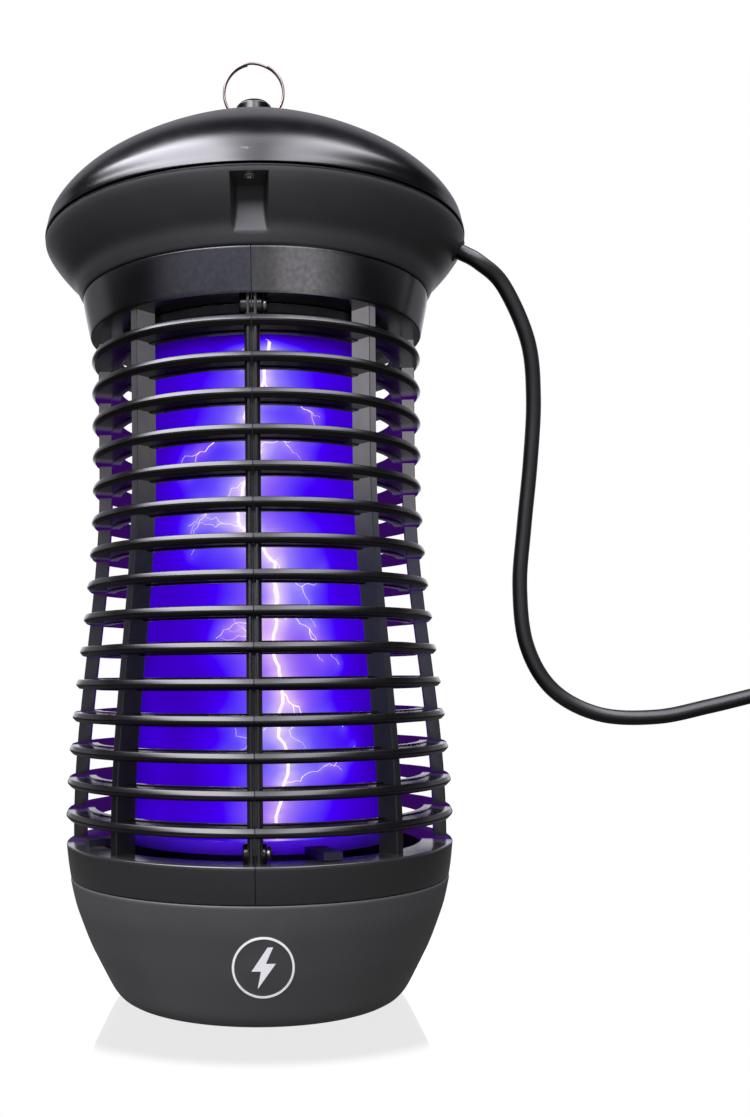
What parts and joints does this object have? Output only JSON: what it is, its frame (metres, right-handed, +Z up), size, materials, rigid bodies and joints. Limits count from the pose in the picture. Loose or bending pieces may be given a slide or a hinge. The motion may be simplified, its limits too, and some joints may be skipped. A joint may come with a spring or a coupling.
{
  "type": "electric bug zapper",
  "caption": "Hanging lantern insect killer: ringed cage round an ultraviolet lamp and high-voltage electrodes, domed head with a mains lead, and a twist-off tray.",
  "frame": {"origin": "on the standing plane, at the centre of the tray's moulded centre pad", "axes": "+Z up along the lantern's axis, front (the cage seam with the recessed head screw) towards -Y, mains lead leaves towards +X"},
  "size_m": [0.3191, 0.1602, 0.3593],
  "materials": {
    "gloss_black": "satin black injection moulding with a fine grain",
    "matte_charcoal": "matte charcoal moulding",
    "black_rubber": "soft black PVC or rubber",
    "nickel": "nickel-plated wire and screws",
    "steel": "zinc-plated steel",
    "electrode_mesh": "fine steel mesh lit violet by the lamp",
    "lamp_glass": "frosted ultraviolet lamp tube",
    "insulator": "dark heat-proof moulding",
    "ceramic": "off-white ceramic or nylon",
    "board": "green solder-masked circuit board",
    "ferrite": "dark grey ferrite",
    "copper": "enamelled copper wire",
    "capacitor_film": "dark red dipped resin",
    "capacitor_sleeve": "blue shrink sleeve",
    "wire_pvc": "pale PVC wire insulation"
  },
  "bodies": {
    "body": {"hanger_post": "gloss_black", "hanger_washer": "steel", "hanger_nut": "steel", "top_cover": "gloss_black", "cover_seal": "black_rubber", "head_housing": "gloss_black", "cover_screw_front": "nickel", "cover_screw_right": "nickel", "cover_screw_left": "nickel", "cage_right": "gloss_black", "cage_left": "gloss_black", "cage_screw_front_top": "nickel", "cage_screw_front_bottom": "nickel", "cage_screw_rear_top": "nickel", "cage_screw_rear_bottom": "nickel", "strain_relief": "black_rubber", "power_cord": "black_rubber", "plug_body": "black_rubber", "plug_blade_upper": "nickel", "plug_blade_lower": "nickel", "circuit_board": "board", "board_screw_1": "steel", "board_screw_2": "steel", "board_screw_3": "steel", "board_screw_4": "steel", "terminal_block": "ceramic", "ballast_core": "ferrite", "ballast_coil": "copper", "filter_capacitor": "capacitor_sleeve", "voltage_capacitor_1": "capacitor_film", "voltage_capacitor_2": "capacitor_film", "voltage_capacitor_3": "capacitor_film", "voltage_capacitor_4": "capacitor_film", "mains_fuse": "ceramic", "lamp_lead_right": "wire_pvc", "lamp_lead_left": "wire_pvc", "outer_electrode_lead": "wire_pvc", "inner_electrode_lead": "wire_pvc", "lamp_socket": "ceramic", "lamp_base": "ceramic", "uv_lamp": "lamp_glass", "upper_insulator": "insulator", "lower_insulator": "insulator", "outer_electrode": "electrode_mesh", "inner_electrode": "electrode_mesh"},
    "hang_ring": {"hang_ring": "nickel"},
    "tray_seal": {"tray_seal": "black_rubber"},
    "tray": {"tray": "matte_charcoal", "foot_1": "black_rubber", "foot_2": "black_rubber", "foot_3": "black_rubber", "foot_4": "black_rubber"}
  },
  "joints": [
    {"name": "ring_swing", "type": "hinge", "parent": "body", "child": "hang_ring", "pos_m": [0, 0, 0.336], "axis": [1, 0, 0], "range_deg": [-100, 100]},
    {"name": "tray_drop", "type": "slide", "parent": "body", "child": "tray_seal", "axis": [0, 0, -1], "range_m": [0, 0.009]},
    {"name": "tray_twist", "type": "hinge", "parent": "tray_seal", "child": "tray", "pos_m": [0, 0, 0.05], "axis": [0, 0, -1], "range_deg": [0, 75]}
  ],
  "couplings": [
    {"joint": "tray_drop", "follows": "tray_twist", "m_per_rad": 0.006875}
  ]
}
